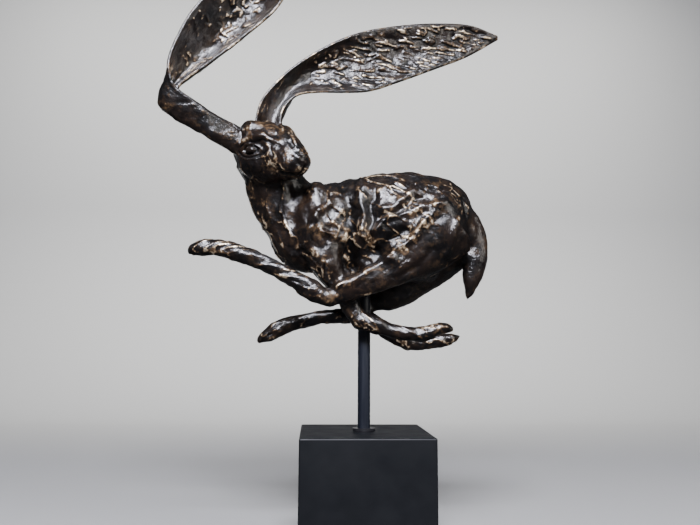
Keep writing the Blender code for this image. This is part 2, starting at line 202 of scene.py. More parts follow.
# Carving: strokes on the flanks, from (x, z) to (x, z), half width and height in grid steps.
# A negative height is a furrow.
FLANK_STROKES = [
    ((-4, 92), (-4, 44), 3.6, 3.0), ((5, 78), (2, 34), 3, -2.4), ((-13, 62), (-13, 20), 6, -4.8),
    ((5, 47), (19, 60), 3, 2.3), ((19, 60), (62, 69), 3, 2.0), ((13, 66), (37, 80), 2.8, 1.8),
    ((8, 80), (29, 88), 2.8, 1.5), ((12, 58), (44, 76), 2.6, -1.6), ((-21, 6), (18, 25), 3.2, 2.0),
    ((18, 25), (57, 66), 3.4, 2.8), ((0, 28), (30, 48), 4, -2.6), ((78, 78), (84, 40), 3.5, -1.8),
    ((74, 66), (64, 30), 3, 1.6), ((52, 34), (24, 10), 3, -1.6), ((-40, 57), (-32, 45), 2.6, 2.0),
    ((-32, 45), (-19, 42), 2.6, 1.8), ((-48, 40), (-38, 62), 3.2, 1.9), ((-38, 62), (-24, 76), 3, 1.8),
    ((-44, 35), (-31, 20), 3.2, 1.8), ((-60, 80), (-56, 56), 4.5, -1.0), ((-20, 84), (-13, 62), 4, -1.8),
    ((-82, 84), (-76, 58), 2.8, 1.1), ((-66, 80), (-63, 52), 2.8, 1.2),
]
FAR_SIDE_SHARE = 0.6


def place(point):
    """Metres, in the part's frame, of a point given in grid steps."""
    return Vector((point[0] * STEP, point[1] * STEP, BELLY_HEIGHT + point[2] * STEP))


def head_axes():
    """Unit vectors of the head: forward, left and up."""
    turn, nod = HEAD_TURN, HEAD_NOD
    forward = Vector((math.sin(turn) * math.cos(nod), -math.cos(turn) * math.cos(nod), -math.sin(nod)))
    left = Vector((math.cos(turn), math.sin(turn), 0.0))
    return forward, left, left.cross(-forward)


def in_head(point):
    """Grid point of a place given as forward, left and up of the head's centre."""
    forward, left, up = head_axes()
    return Vector(HEAD_CENTRE) + forward * point[0] + left * point[1] + up * point[2]


def add_object(name, data):
    """New object in the scene."""
    item = bpy.data.objects.new(name, data)
    bpy.context.scene.collection.objects.link(item)
    return item


def worked_mesh(item):
    """The object's shape with its modifiers worked in."""
    return bpy.data.meshes.new_from_object(item.evaluated_get(bpy.context.evaluated_depsgraph_get()))


def take_mesh(item):
    """The same, and the object itself goes."""
    mesh = worked_mesh(item)
    bpy.data.objects.remove(item, do_unlink=True)
    return mesh


def close_work(work, name):
    """Mesh of a finished piece of mesh work."""
    mesh = bpy.data.meshes.new(name)
    work.to_mesh(mesh)
    work.free()
    return mesh


def tube(stations, flatten=1.0):
    """Closed tapering tube through (x, y, z, radius) stations, pressed flat across Y."""
    curve = bpy.data.curves.new("tube", "CURVE")
    curve.dimensions = "3D"
    curve.bevel_depth = 1.0
    curve.bevel_resolution = TUBE_FINENESS
    curve.resolution_u = TUBE_FINENESS
    curve.use_fill_caps = True
    curve.twist_mode = "MINIMUM"
    spline = curve.splines.new("BEZIER")
    spline.bezier_points.add(len(stations) - 1)
    for point, (x, y, z, radius) in zip(spline.bezier_points, stations):
        spot = place((x, y, z))
        point.co = (spot.x, spot.y / flatten, spot.z)
        point.radius = radius * STEP
        point.handle_left_type = "AUTO"
        point.handle_right_type = "AUTO"
    mesh = take_mesh(add_object("tube", curve))
    mesh.transform(Matrix.Diagonal((1.0, flatten, 1.0, 1.0)))
    return mesh


def ball(centre, radii, axes):
    """Closed ellipsoid with its radii along three given directions, in grid steps."""
    work = bmesh.new()
    bmesh.ops.create_uvsphere(work, u_segments=BALL_SEGMENTS, v_segments=BALL_RINGS, radius=1.0)
    turn = Matrix(axes).transposed().to_4x4()
    stretch = Matrix.Diagonal((*[radius * STEP for radius in radii], 1.0))
    bmesh.ops.transform(work, matrix=Matrix.Translation(place(centre)) @ turn @ stretch, verts=work.verts)
    return close_work(work, "ball")


def smooth_rail(points, rows):
    """Points at even steps along a Catmull-Rom curve through the given ones."""
    rail = np.array(points, dtype=float)
    padded = np.vstack([2 * rail[0] - rail[1], rail, 2 * rail[-1] - rail[-2]])
    out = []
    for along in np.linspace(0, len(rail) - 1, rows):
        index = min(int(along), len(rail) - 2)
        t = along - index
        p0, p1, p2, p3 = padded[index:index + 4]
        spot = 2 * p1 + (p2 - p0) * t + (2 * p0 - 5 * p1 + 4 * p2 - p3) * t * t
        spot = spot + (3 * p1 - p0 - 3 * p2 + p3) * t * t * t
        out.append(spot / 2)
    return np.array(out)


def ear(near_rim, spine, far_rim):
    """Thin ear: a sheet whose section is an arc from rim to rim over the spine, thickened."""
    rims = [smooth_rail(rail, EAR_ROWS) for rail in (near_rim, spine, far_rim)]
    work = bmesh.new()
    grid = []
    for row in range(EAR_ROWS):
        near, middle, far = (rail[row] for rail in rims)
        centre = (near + far) / 2
        along = row / (EAR_ROWS - 1)
        fullness = STEM_FULLNESS + (LEAF_FULLNESS - STEM_FULLNESS) * min(1.0, along * LEAF_SPEED)
        line = []
        for column in range(EAR_COLUMNS + 1):
            across = -math.cos(math.pi * column / EAR_COLUMNS)
            sag = max(0.0, 1.0 - across * across) ** fullness
            spot = centre + (far - near) / 2 * across + (middle - centre) * sag
            line.append(work.verts.new(place(spot)))
        grid.append(line)
    for row in range(EAR_ROWS - 1):
        for column in range(EAR_COLUMNS):
            corners = (grid[row][column], grid[row + 1][column])
            work.faces.new((*corners, grid[row + 1][column + 1], grid[row][column + 1]))
    item = add_object("ear", close_work(work, "ear"))
    wall = item.modifiers.new("wall", "SOLIDIFY")
    thick_part = item.vertex_groups.new(name="thick part")
    for vertex in item.data.vertices:
        across = vertex.index % (EAR_COLUMNS + 1) / EAR_COLUMNS
        fullness = math.sin(math.pi * across) ** 0.5 if 0 < across < 1 else 0.0
        thick_part.add([vertex.index], fullness, "REPLACE")
    wall.vertex_group = thick_part.name
    wall.thickness_vertex_group = EAR_RIM_SHARE
    wall.thickness = EAR_WALL
    wall.offset = 0.0
    return take_mesh(item)


def head_shapes():
    """Skull, muzzle, cheeks, eyes and brows."""
    axes = head_axes()
    shapes = [ball(in_head(spot), radii, axes) for spot, radii in HEAD_MASSES]
    for side in (-1, 1):
        for (forward, out, up), radii in PAIRED_MASSES:
            shapes.append(ball(in_head((forward, side * out, up)), radii, axes))
        brow = [(*in_head((forward, side * out, up)), radius) for forward, out, up, radius in BROW]
        shapes.append(tube(brow))
    return shapes


def limb(stations, flatten=1.0):
    """Tube with a round ball at each end, so that one form melts into the next."""
    shapes = [tube(stations, flatten)]
    for x, y, z, radius in (stations[0], stations[-1]):
        shapes.append(ball((x, y, z), (radius * END_FULLNESS, radius * flatten, radius), WORLD_AXES))
    return shapes


def body_shapes():
    """Trunk, legs and tail."""
    limbs = [
        (TRUNK_FLATTEN, [TRUNK]),
        (THIGH_FLATTEN, [NEAR_THIGH, FAR_THIGH]),
        (FOOT_FLATTEN, [NEAR_HIND_FOOT, FAR_HIND_FOOT]),
        (ARM_FLATTEN, [NEAR_UPPER_ARM, FAR_UPPER_ARM]),
        (FOOT_FLATTEN, [NEAR_FOREARM, FAR_FOREARM]),
        (TAIL_FLATTEN, [TAIL]),
    ]
    shapes = [ball(centre, radii, WORLD_AXES) for centre, radii in TRUNK_MASSES]
    for flatten, pair in limbs:
        for stations in pair:
            shapes += limb(stations, flatten)
    return shapes


def join_meshes(meshes):
    """One mesh holding all the given closed shapes, each with its caps welded."""
    work = bmesh.new()
    for mesh in meshes:
        work.from_mesh(mesh)
        bpy.data.meshes.remove(mesh)
    bmesh.ops.remove_doubles(work, verts=work.verts, dist=WELD_REACH)
    bmesh.ops.recalc_face_normals(work, faces=work.faces)
    return close_work(work, "hare")


# Steady random numbers: factors that mix a cell's place and seed, and the noise's gain.
CELL_FACTORS = (73856093, 19349663, 83492791)
SEED_FACTOR = 2654435761
MIX_FACTOR = 0xBF58476D1CE4E5B9
NOISE_GAIN = 1.6
FAR_OFF = 9.0

# Relief of the casting, in metres; how wide and long seams and cords are, in sizes of a touch.
# Daubs are the flat tilted touches of the modeller's knife, burrs the thin raised seams between
# them, and cords the round raised worms on the ears.
LUMP_SIZE = 0.026
LUMP_RISE = 0.0013
DENT_SIZE = 0.0070
DENT_RISE = 0.00055
PIT_SIZE = 0.0034
PIT_RISE = 0.00020
DAUB_TILT = 0.0013
DAUB_STEP = 0.0004
BURR_RISE = 0.0009
BURR_WIDTH = 0.19
CORD_RISE = 0.0012
CORD_WIDE = 0.30
CORD_LONG = 0.27
CORD_START = 0.060
RIM_PLAIN = 0.0045
BLEND_REACH = 0.004
LEAST_WEIGHT = 0.02
CALM_BURR = 0.35

# Layout of the touches, in sizes of one, and the ranges of noise where seams and cords set in.
TOUCH_LEAN = (0.31, 0.47, 0.83)
DAUB_SCATTER = 0.42
DAUB_EDGE = 0.22
BEND_SCALE = 1.9
BEND_SHARE = 0.30
SEAM_RANGE = (0.02, 0.36)
CORD_BEND = 0.8
CORD_RANGE = (0.08, 0.30)
CORD_PATCHES = (-0.70, 0.10)
CORD_BURR = 0.3


def scatter(cell, seed):
    """Three steady random numbers in -1..1 for each whole-numbered cell."""
    mixed = np.full(len(cell), seed * SEED_FACTOR, dtype=np.uint64)
    for axis, factor in enumerate(CELL_FACTORS):
        mixed ^= cell[:, axis].astype(np.uint64) * np.uint64(factor)
    out = np.empty((len(cell), 3))
    for axis in range(3):
        mixed = (mixed ^ (mixed >> np.uint64(29))) * np.uint64(MIX_FACTOR)
        mixed = mixed ^ (mixed >> np.uint64(32))
        out[:, axis] = (mixed & np.uint64(0xFFFFFF)).astype(float) / 0x7FFFFF - 1.0
    return out


def noise(points, seed):
    """Smooth noise in about -1..1 with one bump to a unit."""
    base = np.floor(points).astype(np.int64)
    part = points - base
    fade = part * part * part * (part * (part * 6 - 15) + 10)
    total = np.zeros(len(points))
    for corner in itertools.product((0, 1), repeat=3):
        offset = np.array(corner)
        weight = np.prod(np.where(offset == 1, fade, 1 - fade), axis=1)
        total += weight * ((part - offset) * scatter(base + offset, seed)).sum(1)
    return total * NOISE_GAIN


def daubs(points, seed):
    """Touches of the knife: nearness of the seam to the next one, tilt here, and own height."""
    base = np.floor(points).astype(np.int64)
    nearest = np.full(len(points), FAR_OFF)
    second = np.full(len(points), FAR_OFF)
    tilt = np.zeros(len(points))
    own = np.zeros(len(points))
    for corner in itertools.product((-1, 0, 1), repeat=3):
        cell = base + np.array(corner)
        random = scatter(cell, seed)
        offset = points - cell - 0.5 - DAUB_SCATTER * random
        away = norm(offset, axis=1)
        closer = away < nearest
        second = np.where(closer, nearest, np.minimum(second, away))
        tilt = np.where(closer, (offset * random[:, (1, 2, 0)]).sum(1), tilt)
        own = np.where(closer, random[:, 0], own)
        nearest = np.minimum(nearest, away)
    return second - nearest, tilt, own


def ramp(value, low, high):
    """Soft step from 0 at low to 1 at high."""
    share = np.clip((value - low) / (high - low), 0, 1)
    return share * share * (3 - 2 * share)


def to_world(points):
    """Metres from grid steps for an array of points."""
    out = np.array(points, dtype=float)[:, :3] * STEP
    out[:, 2] += BELLY_HEIGHT
    return out


def run_distance(points, start, end):
    """Distance of each point from a straight run."""
    run = np.subtract(end, start)
    share = np.clip((points - start) @ run / (run @ run), 0, 1)
    return norm(points - start - share[:, None] * run, axis=1)


def line_distance(points, line, longest=1.0):
    """Distance of each point from a line of many short runs."""
    nearest = np.full(len(points), longest)
    for start, end in zip(line, line[1:]):
        nearest = np.minimum(nearest, run_distance(points, start, end))
    return nearest


class Flow:
    """A line that the modeller's touches follow, with the form's half width along it. Long and
    wide are a touch's sizes in metres; an ear's opening is the way it faces, and brings cords."""

    def __init__(self, stations, widths, long, wide, strength, seed, opening=None):
        self.spots = to_world(stations)
        self.widths = np.array(widths, dtype=float) * STEP
        self.long = long
        self.wide = wide
        self.strength = strength
        self.seed = seed
        self.opening = opening

    def lay(self, points):
        """Distance and count of stations along the line, offset from it, and distance outside its form."""
        best = np.full(len(points), FAR_OFF)
        along = np.zeros(len(points))
        count = np.zeros(len(points))
        offset = np.zeros((len(points), 3))
        outside = np.full(len(points), FAR_OFF)
        travelled = 0.0
        rows = zip(self.spots, self.spots[1:], self.widths, self.widths[1:])
        for index, (start, end, w0, w1) in enumerate(rows):
            run = end - start
            length = norm(run)
            share = np.clip((points - start) @ run / length ** 2, 0, 1)
            away = points - start - share[:, None] * run
            distance = norm(away, axis=1)
            closer = distance < best
            best = np.where(closer, distance, best)
            along = np.where(closer, travelled + share * length, along)
            count = np.where(closer, index + share, count)
            offset = np.where(closer[:, None], away, offset)
            outside = np.where(closer, distance - (w0 + (w1 - w0) * share), outside)
            travelled += length
        return along, count, offset, outside

    def inner_share(self, count, normals):
        """1 where the skin faces the way an ear opens, 0 on its outer face."""
        stations = np.arange(len(self.opening))
        way = [np.interp(count, stations, self.opening[:, axis]) for axis in range(3)]
        return ramp((np.stack(way, 1) * normals).sum(1), -0.1, 0.3)

    def relief(self, along, count, offset, normals):
        """Height in metres and burr in 0..1 of the touches that run along this line."""
        coarse = offset / self.wide + np.outer(along / self.long, TOUCH_LEAN)
        bend = [noise(coarse * BEND_SCALE + 7.3 * axis, self.seed + 11 + axis) for axis in range(3)]
        bend = np.stack(bend, 1)
        seam, tilt, own = daubs(coarse + BEND_SHARE * bend, self.seed)
        gate = ramp(noise(coarse * 0.6, self.seed + 5), *SEAM_RANGE)
        burr = (1 - ramp(seam, 0.0, BURR_WIDTH)) * gate
        height = (DAUB_TILT * tilt + DAUB_STEP * own) * ramp(seam, 0.0, DAUB_EDGE)
        height += BURR_RISE * burr
        height *= self.strength
        if self.opening is not None:
            cord = self.cords(along, offset, coarse, CORD_BEND * bend)
            cord *= ramp(along, CORD_START, CORD_START * 1.4) * self.inner_share(count, normals)
            height += CORD_RISE * cord
            burr = np.maximum(burr, cord * CORD_BURR)
        return height, burr

    def cords(self, along, offset, coarse, bend):
        """Round worms along the line, 1 on their tops, in loose patches."""
        fine = offset / (self.wide * CORD_WIDE)
        fine = fine + np.outer(along / (self.long * CORD_LONG), TOUCH_LEAN) + bend
        cord = ramp(noise(fine, self.seed + 21), *CORD_RANGE)
        return cord * ramp(noise(coarse * 0.7 + 3.1, self.seed + 8), *CORD_PATCHES)


# Touches of each form: length and width in metres, strength, and the first line's seed.
TRUNK_REACH = 0.8
TRUNK_TOUCH = (0.017, 0.0125, 1.0, 3)
LIMB_TOUCHES = [
    ((NEAR_HIND_FOOT, FAR_HIND_FOOT, NEAR_FOREARM, FAR_FOREARM), (0.014, 0.0072, 0.70), 20),
    ((NEAR_THIGH, FAR_THIGH), (0.024, 0.0110, 0.8), 30),
    ((NEAR_UPPER_ARM, FAR_UPPER_ARM), (0.019, 0.0115, 1.0), 40),
    ((TAIL,), (0.022, 0.009, 0.5), 50),
]
EAR_MARGIN = 4
EAR_TOUCHES = [
    (RIGHT_EAR, 0.021, 0.0125, 0.6, 60),
    (LEFT_EAR, 0.021, 0.0095, 0.7, 70),
]
HEAD_LINE = [(-14, 0, 6), (10, 0, 2), (34, 0, -4)]
HEAD_WIDTHS = [22, 20, 14]
HEAD_TOUCH = (0.011, 0.0075, 0.75, 80)


def ear_line(first, second, third):
    """Middle line of an ear, its half widths and the way it opens, from its three rails."""
    first, second, third = (np.array(rail, dtype=float) for rail in (first, second, third))
    opening = (first + third) / 2 - second
    opening /= norm(opening, axis=1)[:, None] + 1e-6
    return (first + third) / 4 + second / 2, norm(first - third, axis=1) / 2 + EAR_MARGIN, opening


def flows():
    """Every line the touches follow: trunk, limbs and tail, ears and head."""
    out = [Flow(TRUNK, [station[3] * TRUNK_REACH for station in TRUNK], *TRUNK_TOUCH)]
    for limbs, touch, seed in LIMB_TOUCHES:
        for count, stations in enumerate(limbs):
            out.append(Flow(stations, [station[3] for station in stations], *touch, seed + count))
    for rails, *touch in EAR_TOUCHES:
        line, widths, opening = ear_line(*rails)
        out.append(Flow(line, widths, *touch, opening))
    out.append(Flow([in_head(spot) for spot in HEAD_LINE], HEAD_WIDTHS, *HEAD_TOUCH))
    return out


# Calm, smoother places: x, z and radius in grid steps, and how calm.
CALM_PLACES = [
    (56, 42, 24, 0.75), (22, 8, 20, 0.55), (-84, 84, 14, 0.50), (0, 60, 10, 0.55),
    (90, 30, 22, 0.70), (-141, 198, 13, 0.90), (-128, 224, 12, 0.85), (-150, 178, 9, 0.80),
]

# Places painted pale gold, partly rubbed bare by hands and partly painted highlight, on the same grid: x,
# z, radius and how bare.
RUB_AND_HIGHLIGHT_PLACES = [
    (-150, 170, 6, 0.90), (-152, 151, 8, 0.55), (-118, 122, 9, 0.50), (28, 36, 8, 0.90),
    (46, 54, 8, 0.85), (8, 20, 6, 0.80), (-36, 48, 7, 0.90), (-24, 44, 6, 0.80), (-40, 30, 6, 0.70),
    (-27, -5, 7, 0.75), (20, 74, 9, 0.70), (54, 68, 8, 0.80), (44, 86, 8, 0.65), (50, -29, 6, 0.60),
]

# Places where the lacquer is dull, on the same grid: x, z, radius and how dull; the first two darken the
# hollow between shoulder and haunch as painted shade.
DULL_PLACES = [
    (1, 31, 13, 0.90), (-10, 24, 10, 0.80), (60, 38, 18, 0.45), (-84, 80, 10, 0.45),
]


def left_over(points, places):
    """What stays of 1 at each point after every place has taken its share."""
    grid_x = points[:, 0] / STEP
    grid_z = (points[:, 2] - BELLY_HEIGHT) / STEP
    left = np.ones(len(points))
    for x, z, radius, share in places:
        left *= 1 - share * np.exp(-((grid_x - x) ** 2 + (grid_z - z) ** 2) / radius ** 2)
    return left


def cast_relief(points, normals, rim):
    """Height in metres and burr in 0..1 of the whole casting, fading to plain at the ears' rims."""
    height = np.zeros(len(points))
    burr = np.zeros(len(points))
    total = np.full(len(points), 1e-9)
    for flow in flows():
        along, count, offset, outside = flow.lay(points)
        weight = np.exp(-np.clip(outside, 0, 1) / BLEND_REACH)
        near = weight > LEAST_WEIGHT
        rise, seam = flow.relief(along[near], count[near], offset[near], normals[near])
        height[near] += weight[near] * rise
        burr[near] += weight[near] * seam
        total[near] += weight[near]
    height /= total
    burr /= total
    inside = ramp(rim, RIM_PLAIN * 0.35, RIM_PLAIN)
    calm = left_over(points, CALM_PLACES)
    height *= calm
    burr *= CALM_BURR + (1 - CALM_BURR) * calm
    height += LUMP_RISE * noise(points / LUMP_SIZE, 101)
    height += DENT_RISE * calm * noise(points / DENT_SIZE, 102)
    height += PIT_RISE * noise(points / PIT_SIZE, 103)
    return height * inside, np.clip(burr, 0, 1) * inside


# Small features of the head, in grid steps forward, out and up of its centre.
EYE_SPOT = (5.0, -2.0)
EYE_LONG = 8.8
EYE_TALL = 4.6
EYE_SLANT = math.radians(-6)
EYEBALL_SIZE = (0.66, 0.74)
EYEBALL_RISE = 1.7
# Rings round the eye in sizes of its lids: distance out, width, and rise or depth in grid steps.
SOCKET_OUT, SOCKET_WIDTH, SOCKET_DEPTH = 0.74, 0.15, 1.9
LID_OUT, LID_WIDTH, LID_RISE = 1.04, 0.16, 1.5
FOLD_OUT, FOLD_WIDTH, FOLD_DEPTH = 1.36, 0.13, 0.7
BAG_OUT, BAG_WIDTH, BAG_RISE = 1.62, 0.15, 0.5
NOSTRIL = (43.0, 6.0, 2.0)
NOSTRIL_SIZE = (3.0, 3.2, 1.4)
MOUTH = [(46, -12), (40, -14.5), (33, -14.5), (26, -12.5)]
MOUTH_WIDTH = 1.1
CLEFT_WIDTH = 0.9
CLEFT_DEPTH = 1.1
BROW_LINE = [(-5, 19, 4), (6, 19.5, 7.5), (14, 17, 12), (26, 11.5, 8)]
BROW_WIDTH = 2.2
BROW_RISE = 1.1
CREASE_DEPTH = 0.9

# The head as one ellipsoid, and the heights between which the ears begin, in grid steps.
HEAD_AHEAD = 8
HEAD_REACH = (40, 27, 30)
EAR_FOOT = (104, 112)

# Places of the head rubbed bare by hands, partly painted highlights of snout, forehead and cheek: centre as
# above, radius and how bare.
HEAD_RUBS_AND_HIGHLIGHTS = [
    ((37, 10, 0), 7.5, 1.0),
    ((15, 9, 17), 9.0, 0.70),
    ((4, 13, 19), 8.0, 0.60),
    ((26, 10, -14), 7.0, 0.60),
]
# Places of the head where the lacquer is dull, in the same way.
HEAD_DULLS = [
    ((6, 11, 20), 13.0, 0.90),
    ((-8, 14, 14), 9.0, 0.80),
    ((10, 14, -15), 12.0, 0.70),
]


def in_head_frame(points):
    """Forward, left and up of the head's centre, in grid steps, for an array of world points."""
    centre = np.array(place(HEAD_CENTRE))
    axes = np.array([list(axis) for axis in head_axes()])
    return (points - centre) @ axes.T / STEP


def head_share(points):
    """How much each point belongs to the head: 1 inside its ellipsoid, 0 outside."""
    forward, left, up = in_head_frame(points).T
    long, wide, tall = HEAD_REACH
    reach = np.sqrt(((forward - HEAD_AHEAD) / long) ** 2 + (left / wide) ** 2 + (up / tall) ** 2)
    return 1 - ramp(reach, 0.92, 1.12)


def ear_share(points):
    """How much each point belongs to the thin ears, which stand clear of head and back."""
    height = (points[:, 2] - BELLY_HEIGHT) / STEP
    return ramp(height, *EAR_FOOT) * (1 - head_share(points))


def groove(distance, width):
    """Round section of a groove or ridge, 1 on its line."""
    return np.exp(-(distance / width) ** 2)


def eye_relief(forward, out, up):
    """Eyeball, lids and folds, then where the smooth ball and the lids show."""
    run = forward - EYE_SPOT[0]
    rise = up - EYE_SPOT[1]
    long = (run * math.cos(EYE_SLANT) - rise * math.sin(EYE_SLANT)) / EYE_LONG
    tall = (run * math.sin(EYE_SLANT) + rise * math.cos(EYE_SLANT)) / EYE_TALL
    lid = np.sqrt(np.abs(long) ** 1.6 + np.abs(tall) ** 2.0)
    middle = np.hypot(long / EYEBALL_SIZE[0], tall / EYEBALL_SIZE[1])
    height = np.where(middle < 1, EYEBALL_RISE * np.sqrt(np.clip(1 - middle ** 2, 0, 1)), 0)
    below = ramp(-tall, -0.2, 0.5)
    ends = 1 - 0.55 * ramp(np.abs(long), 0.35, 0.95)
    height -= SOCKET_DEPTH * groove(lid - SOCKET_OUT, SOCKET_WIDTH)
    height += (LID_RISE - 0.5 * below) * ends * groove(lid - LID_OUT, LID_WIDTH)
    height -= FOLD_DEPTH * groove(lid - FOLD_OUT, FOLD_WIDTH) * (0.35 + 0.65 * below)
    height += BAG_RISE * groove(lid - BAG_OUT, BAG_WIDTH) * below
    here = ramp(out, 7, 11) * (np.hypot(long, tall) < 2.6)
    return height * here, here * (lid < 0.72), here * (lid < 1.75)


def brow_relief(forward, out, up):
    """Crest of the brow with the crease under it, and where it gets a painted highlight that also reads as
    rubbed gold.
    """
    spots = np.stack([forward, out, up], 1)
    line = np.array(BROW_LINE, dtype=float)
    crest = groove(line_distance(spots, line, 99), BROW_WIDTH)
    crease = groove(line_distance(spots, line - (0, 0, 1.9 * BROW_WIDTH), 99), BROW_WIDTH * 0.6)
    return BROW_RISE * crest - CREASE_DEPTH * crease, crest


def muzzle_relief(forward, left, up):
    """Nostril slits, mouth line and the cleft of the lip."""
    out = np.abs(left)
    long, wide, tall = NOSTRIL_SIZE
    slit = np.hypot((forward - NOSTRIL[0]) / long, (up - NOSTRIL[2] - 0.5 * (out - NOSTRIL[1])) / tall)
    slit = np.hypot(slit, (out - NOSTRIL[1]) / wide)
    height = -np.exp(-slit ** 2)
    for start, end in zip(MOUTH, MOUTH[1:]):
        away = run_distance(np.stack([forward, up], 1), start, end)
        height -= groove(away, MOUTH_WIDTH) * (forward > 20)
    height -= CLEFT_DEPTH * groove(left, CLEFT_WIDTH) * ramp(forward, 41, 44) * ramp(-up, 4, 7)
    return height


def head_marks(spots, places):
    """How strongly each point of the head is marked by the given round places."""
    marks = np.zeros(len(spots))
    for centre, radius, share in places:
        marks = np.maximum(marks, share * groove(norm(spots - centre, axis=1), radius))
    return marks


def head_relief(points):
    """Height of the features in metres, then where eyeball, lids, rubbing with painted highlights, and dull
    lacquer are.
    """
    forward, left, up = in_head_frame(points).T
    out = np.abs(left)
    height, eyeball, lids = eye_relief(forward, out, up)
    brow, rub = brow_relief(forward, out, up)
    height = height + brow * (1 - eyeball) + muzzle_relief(forward, left, up)
    spots = np.stack([forward, out, up], 1)
    # The brow's crest and the marked places are painted highlights as well as rubbed gold.
    rub = np.maximum(rub * 0.8, head_marks(spots, HEAD_RUBS_AND_HIGHLIGHTS))
    dull = head_marks(spots, HEAD_DULLS)
    reach = head_share(points)
    return height * reach * MM, eyeball * reach, lids * reach, rub * reach, dull * reach


# How far the rubbing of the ears' rims reaches, in metres.
RIM_RUB = 0.0011

# Toe grooves at the paws' ends, in grid steps across the paw.
TOE_GROOVES = (-2.4, 0.0, 2.4)
TOE_DEPTH = 0.6
TOE_WIDTH = 0.8
TOE_REACH = 14.0
PAW_REACH = 0.024


def toe_relief(points):
    """Grooves between the toes at the end of each paw."""
    height = np.zeros(len(points))
    for rows in (NEAR_HIND_FOOT, FAR_HIND_FOOT, NEAR_FOREARM, FAR_FOREARM):
        back, tip = to_world([rows[-3], rows[-1]])
        axis = (tip - back) / norm(tip - back)
        offset = points - tip
        along = offset @ axis / MM
        near = (norm(offset, axis=1) < PAW_REACH) & (along > -TOE_REACH)
        fade = near * ramp(along, -TOE_REACH, -TOE_REACH * 0.4)
        for across in TOE_GROOVES:
            height -= TOE_DEPTH * fade * groove(offset[:, 1] / MM - across, TOE_WIDTH)
    return height * MM


# How far the large strokes waver, in grid steps, how long a wave is and how the painted highlight on their
# crests is broken.
STROKE_WAVER = 3.0
STROKE_WAVE = 0.013
STROKE_BREAK = 0.0065
# Share of a raised stroke's half width that gets a painted highlight on its crest, which also reads as
# rubbed gold.
CREST_SHARE = 0.85
# Depth of a furrow, in grid steps, at which its painted shade is full.
HOLLOW_DEEP = 3.0


def flank_relief(points, normals):
    """The large strokes of the solid, at the same places and heights, with a painted highlight on their
    crests and painted shade in their furrows.
    """
    grid_x = points[:, 0] / STEP + STROKE_WAVER * noise(points / STROKE_WAVE, 131)
    grid_z = (points[:, 2] - BELLY_HEIGHT) / STEP + STROKE_WAVER * noise(points / STROKE_WAVE, 132)
    grid = np.stack([grid_x, grid_z], 1)
    height = np.zeros(len(points))
    crest = np.zeros(len(points))
    painted_furrow_shade = np.zeros(len(points))
    for start, end, half_width, rise in FLANK_STROKES:
        away = run_distance(grid, start, end)
        height += rise * groove(away, half_width)
        # Raised strokes get a painted highlight along their crests, partly rubbed gold; furrows get painted
        # shade.
        if rise > 0:
            crest = np.maximum(crest, groove(away, half_width * CREST_SHARE))
        else:
            painted_furrow_shade = np.maximum(painted_furrow_shade, groove(away, half_width) * ramp(-rise, 0.5, HOLLOW_DEEP))
    faces_side = np.clip(np.abs(normals[:, 1]) * 2 - 0.3, 0, 1)
    side = faces_side * np.where(points[:, 1] < 0, 1.0, FAR_SIDE_SHARE)
    crest *= ramp(noise(points / STROKE_BREAK, 133), -0.25, 0.30)
    return height * side * STEP, crest * side, painted_furrow_shade * side


def rim_distance(points):
    """Distance of each point from the nearest rim of an ear."""
    nearest = np.full(len(points), 1.0)
    for rail in (*RIGHT_EAR[::2], *LEFT_EAR[::2]):
        nearest = np.minimum(nearest, line_distance(points, to_world(smooth_rail(rail, RAIL_STEPS))))
    return nearest


def read_vectors(mesh, kind):
    """Point (co) or normal of every vertex, one to a row."""
    values = np.empty(len(mesh.vertices) * 3, dtype=np.float32)
    mesh.vertices.foreach_get(kind, values)
    return values.reshape(-1, 3).astype(float)


def write_points(mesh, points):
    """Move every vertex to its new point."""
    mesh.vertices.foreach_set("co", points.astype(np.float32).ravel())
    mesh.update()


def read_edges(mesh):
    """The two vertices of every edge, one edge to a row."""
    values = np.empty(len(mesh.edges) * 2, dtype=np.int32)
    mesh.edges.foreach_get("vertices", values)
    return values.reshape(-1, 2)


def soften(points, edges, rounds, share=None):
    """Points drawn towards their neighbours' mean, round after round."""
    count = len(points)
    ends, starts = edges.T
    degree = np.maximum(np.bincount(starts, minlength=count) + np.bincount(ends, minlength=count), 1)
    pull = 0.5 if share is None else 0.5 * share
    out = points.copy()
    for _ in range(rounds):
        for axis in range(3):
            column = out[:, axis]
            total = np.bincount(starts, weights=column[ends], minlength=count)
            total += np.bincount(ends, weights=column[starts], minlength=count)
            out[:, axis] = column + pull * (total / degree - column)
    return out


def stand_out(points, normals, edges, rounds):
    """How far each point stands out of its softened surroundings, in millimetres."""
    return ((points - soften(points, edges, rounds)) * normals).sum(1) / MM


def bake_modifiers(item):
    """Turn the object's modifiers into its mesh."""
    mesh = worked_mesh(item)
    item.modifiers.clear()
    item.data = mesh


def fuse(item):
    """Melt the overlapping shapes into one fine skin, the flesh more than the thin ears."""
    skin = item.modifiers.new("skin", "REMESH")
    skin.mode = "VOXEL"
    skin.voxel_size = SKIN_VOXEL
    bake_modifiers(item)
    points = read_vectors(item.data, "co")
    edges = read_edges(item.data)
    flesh = 1 - ear_share(points)
    points = soften(points, edges, FIRST_ROUNDS)
    flesh *= 1 - HEAD_FIRMNESS * head_share(points)
    write_points(item.data, soften(points, edges, MELT_ROUNDS, flesh))


def keep_values(mesh, name, values):
    """Keep a value in 0..1 at each vertex for the finish."""
    layer = mesh.attributes.new(name, "FLOAT", "POINT")
    layer.data.foreach_set("value", np.clip(values, 0, 1).astype(np.float32))


# Rounds of softening, and between how many millimetres off the softened skin a point becomes
# raised or sunk.
FINE_ROUNDS = 5
BROAD_ROUNDS = 24
FINE_RAISED = (0.03, 0.15)
BROAD_RAISED = (0.05, 0.40)
FINE_SUNK = (0.02, 0.14)
BROAD_SUNK = (0.05, 0.5)
RUB_AND_HIGHLIGHT_REACH = (-0.25, 0.15)
FACE_FULL = 0.9
FACE_CALM = 0.7


